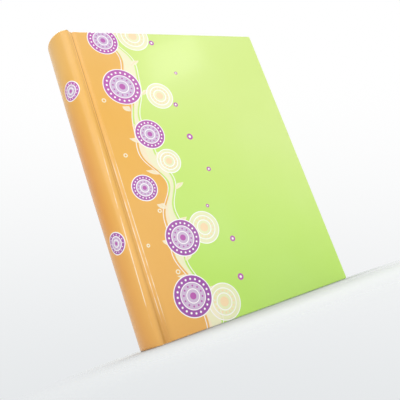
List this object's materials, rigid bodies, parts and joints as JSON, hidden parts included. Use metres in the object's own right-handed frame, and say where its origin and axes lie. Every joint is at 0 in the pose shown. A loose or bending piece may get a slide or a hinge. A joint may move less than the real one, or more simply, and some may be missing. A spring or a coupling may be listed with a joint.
{
  "type": "scrapbook album",
  "caption": "Hardcover album with a rounded hollow spine, printed laminated covers that open on grooved joints, and card leaves hinged to guards, for mounting photos and keepsakes.",
  "frame": {"origin": "middle of the closed album's box, at the tail edge that it stands on", "axes": "+Z from tail to head, +X from the spine to the fore-edge, the front cover faces -Y"},
  "size_m": [0.2406, 0.0418, 0.305],
  "materials": {
    "printed_cover": "glossy laminated print",
    "grey_board": "matt",
    "endpaper": "matt",
    "leaf_card": "matt",
    "guard_card": "matt",
    "lining_cloth": "open weave",
    "band_thread": "woven thread"
  },
  "bodies": {
    "spine_and_block": {"spine_wrap": "printed_cover", "spine_board": "grey_board", "front_joint_wrap": "printed_cover", "back_joint_wrap": "printed_cover", "spine_lining": "lining_cloth", "headband": "band_thread", "tailband": "band_thread", "guard_01": "guard_card", "guard_02": "guard_card", "guard_03": "guard_card", "guard_04": "guard_card", "guard_05": "guard_card", "guard_06": "guard_card", "guard_07": "guard_card", "guard_08": "guard_card", "guard_09": "guard_card", "guard_10": "guard_card", "guard_11": "guard_card", "guard_12": "guard_card", "guard_13": "guard_card", "guard_14": "guard_card", "guard_15": "guard_card", "guard_16": "guard_card", "guard_17": "guard_card", "guard_18": "guard_card", "guard_19": "guard_card", "guard_20": "guard_card"},
    "front_cover": {"front_cover_wrap": "printed_cover", "front_board": "grey_board", "front_pastedown": "endpaper"},
    "back_cover": {"back_cover_wrap": "printed_cover", "back_board": "grey_board", "back_pastedown": "endpaper"},
    "front_flyleaf": {"front_flyleaf": "endpaper"},
    "back_flyleaf": {"back_flyleaf": "endpaper"},
    "leaf_01": {"leaf_01": "leaf_card"},
    "leaf_02": {"leaf_02": "leaf_card"},
    "leaf_03": {"leaf_03": "leaf_card"},
    "leaf_04": {"leaf_04": "leaf_card"},
    "leaf_05": {"leaf_05": "leaf_card"},
    "leaf_06": {"leaf_06": "leaf_card"},
    "leaf_07": {"leaf_07": "leaf_card"},
    "leaf_08": {"leaf_08": "leaf_card"},
    "leaf_09": {"leaf_09": "leaf_card"},
    "leaf_10": {"leaf_10": "leaf_card"},
    "leaf_11": {"leaf_11": "leaf_card"},
    "leaf_12": {"leaf_12": "leaf_card"},
    "leaf_13": {"leaf_13": "leaf_card"},
    "leaf_14": {"leaf_14": "leaf_card"},
    "leaf_15": {"leaf_15": "leaf_card"},
    "leaf_16": {"leaf_16": "leaf_card"},
    "leaf_17": {"leaf_17": "leaf_card"},
    "leaf_18": {"leaf_18": "leaf_card"},
    "leaf_19": {"leaf_19": "leaf_card"},
    "leaf_20": {"leaf_20": "leaf_card"}
  },
  "joints": [
    {"name": "front_cover_hinge", "type": "hinge", "parent": "spine_and_block", "child": "front_cover", "pos_m": [-0.10175, -0.0204, 0], "axis": [0, 0, -1], "range_deg": [0, 180]},
    {"name": "back_cover_hinge", "type": "hinge", "parent": "spine_and_block", "child": "back_cover", "pos_m": [-0.10175, 0.0204, 0], "axis": [0, 0, 1], "range_deg": [0, 180]},
    {"name": "front_flyleaf_fold", "type": "hinge", "parent": "spine_and_block", "child": "front_flyleaf", "pos_m": [-0.09735, -0.01325, 0], "axis": [0, 0, -1], "range_deg": [0, 81]},
    {"name": "back_flyleaf_fold", "type": "hinge", "parent": "spine_and_block", "child": "back_flyleaf", "pos_m": [-0.09735, 0.01325, 0], "axis": [0, 0, 1], "range_deg": [0, 81]},
    {"name": "leaf_01_score", "type": "hinge", "parent": "spine_and_block", "child": "leaf_01", "pos_m": [-0.09335, -0.01216, 0], "axis": [0, 0, -1], "range_deg": [0, 54]},
    {"name": "leaf_02_score", "type": "hinge", "parent": "spine_and_block", "child": "leaf_02", "pos_m": [-0.09335, -0.01088, 0], "axis": [0, 0, -1], "range_deg": [0, 48.6]},
    {"name": "leaf_03_score", "type": "hinge", "parent": "spine_and_block", "child": "leaf_03", "pos_m": [-0.09335, -0.0096, 0], "axis": [0, 0, -1], "range_deg": [0, 43.2]},
    {"name": "leaf_04_score", "type": "hinge", "parent": "spine_and_block", "child": "leaf_04", "pos_m": [-0.09335, -0.00832, 0], "axis": [0, 0, -1], "range_deg": [0, 37.8]},
    {"name": "leaf_05_score", "type": "hinge", "parent": "spine_and_block", "child": "leaf_05", "pos_m": [-0.09335, -0.00704, 0], "axis": [0, 0, -1], "range_deg": [0, 32.4]},
    {"name": "leaf_06_score", "type": "hinge", "parent": "spine_and_block", "child": "leaf_06", "pos_m": [-0.09335, -0.00576, 0], "axis": [0, 0, -1], "range_deg": [0, 27]},
    {"name": "leaf_07_score", "type": "hinge", "parent": "spine_and_block", "child": "leaf_07", "pos_m": [-0.09335, -0.00448, 0], "axis": [0, 0, -1], "range_deg": [0, 21.6]},
    {"name": "leaf_08_score", "type": "hinge", "parent": "spine_and_block", "child": "leaf_08", "pos_m": [-0.09335, -0.0032, 0], "axis": [0, 0, -1], "range_deg": [0, 16.2]},
    {"name": "leaf_09_score", "type": "hinge", "parent": "spine_and_block", "child": "leaf_09", "pos_m": [-0.09335, -0.00192, 0], "axis": [0, 0, -1], "range_deg": [0, 10.8]},
    {"name": "leaf_10_score", "type": "hinge", "parent": "spine_and_block", "child": "leaf_10", "pos_m": [-0.09335, -0.00064, 0], "axis": [0, 0, -1], "range_deg": [0, 5.4]},
    {"name": "leaf_11_score", "type": "hinge", "parent": "spine_and_block", "child": "leaf_11", "pos_m": [-0.09335, 0.00064, 0], "axis": [0, 0, 1], "range_deg": [0, 5.4]},
    {"name": "leaf_12_score", "type": "hinge", "parent": "spine_and_block", "child": "leaf_12", "pos_m": [-0.09335, 0.00192, 0], "axis": [0, 0, 1], "range_deg": [0, 10.8]},
    {"name": "leaf_13_score", "type": "hinge", "parent": "spine_and_block", "child": "leaf_13", "pos_m": [-0.09335, 0.0032, 0], "axis": [0, 0, 1], "range_deg": [0, 16.2]},
    {"name": "leaf_14_score", "type": "hinge", "parent": "spine_and_block", "child": "leaf_14", "pos_m": [-0.09335, 0.00448, 0], "axis": [0, 0, 1], "range_deg": [0, 21.6]},
    {"name": "leaf_15_score", "type": "hinge", "parent": "spine_and_block", "child": "leaf_15", "pos_m": [-0.09335, 0.00576, 0], "axis": [0, 0, 1], "range_deg": [0, 27]},
    {"name": "leaf_16_score", "type": "hinge", "parent": "spine_and_block", "child": "leaf_16", "pos_m": [-0.09335, 0.00704, 0], "axis": [0, 0, 1], "range_deg": [0, 32.4]},
    {"name": "leaf_17_score", "type": "hinge", "parent": "spine_and_block", "child": "leaf_17", "pos_m": [-0.09335, 0.00832, 0], "axis": [0, 0, 1], "range_deg": [0, 37.8]},
    {"name": "leaf_18_score", "type": "hinge", "parent": "spine_and_block", "child": "leaf_18", "pos_m": [-0.09335, 0.0096, 0], "axis": [0, 0, 1], "range_deg": [0, 43.2]},
    {"name": "leaf_19_score", "type": "hinge", "parent": "spine_and_block", "child": "leaf_19", "pos_m": [-0.09335, 0.01088, 0], "axis": [0, 0, 1], "range_deg": [0, 48.6]},
    {"name": "leaf_20_score", "type": "hinge", "parent": "spine_and_block", "child": "leaf_20", "pos_m": [-0.09335, 0.01216, 0], "axis": [0, 0, 1], "range_deg": [0, 54]}
  ],
  "couplings": [
    {"joint": "front_flyleaf_fold", "follows": "front_cover_hinge", "ratio": 0.45},
    {"joint": "back_flyleaf_fold", "follows": "back_cover_hinge", "ratio": 0.45},
    {"joint": "leaf_01_score", "follows": "front_cover_hinge", "ratio": 0.3},
    {"joint": "leaf_02_score", "follows": "front_cover_hinge", "ratio": 0.27},
    {"joint": "leaf_03_score", "follows": "front_cover_hinge", "ratio": 0.24},
    {"joint": "leaf_04_score", "follows": "front_cover_hinge", "ratio": 0.21},
    {"joint": "leaf_05_score", "follows": "front_cover_hinge", "ratio": 0.18},
    {"joint": "leaf_06_score", "follows": "front_cover_hinge", "ratio": 0.15},
    {"joint": "leaf_07_score", "follows": "front_cover_hinge", "ratio": 0.12},
    {"joint": "leaf_08_score", "follows": "front_cover_hinge", "ratio": 0.09},
    {"joint": "leaf_09_score", "follows": "front_cover_hinge", "ratio": 0.06},
    {"joint": "leaf_10_score", "follows": "front_cover_hinge", "ratio": 0.03},
    {"joint": "leaf_11_score", "follows": "back_cover_hinge", "ratio": 0.03},
    {"joint": "leaf_12_score", "follows": "back_cover_hinge", "ratio": 0.06},
    {"joint": "leaf_13_score", "follows": "back_cover_hinge", "ratio": 0.09},
    {"joint": "leaf_14_score", "follows": "back_cover_hinge", "ratio": 0.12},
    {"joint": "leaf_15_score", "follows": "back_cover_hinge", "ratio": 0.15},
    {"joint": "leaf_16_score", "follows": "back_cover_hinge", "ratio": 0.18},
    {"joint": "leaf_17_score", "follows": "back_cover_hinge", "ratio": 0.21},
    {"joint": "leaf_18_score", "follows": "back_cover_hinge", "ratio": 0.24},
    {"joint": "leaf_19_score", "follows": "back_cover_hinge", "ratio": 0.27},
    {"joint": "leaf_20_score", "follows": "back_cover_hinge", "ratio": 0.3}
  ]
}
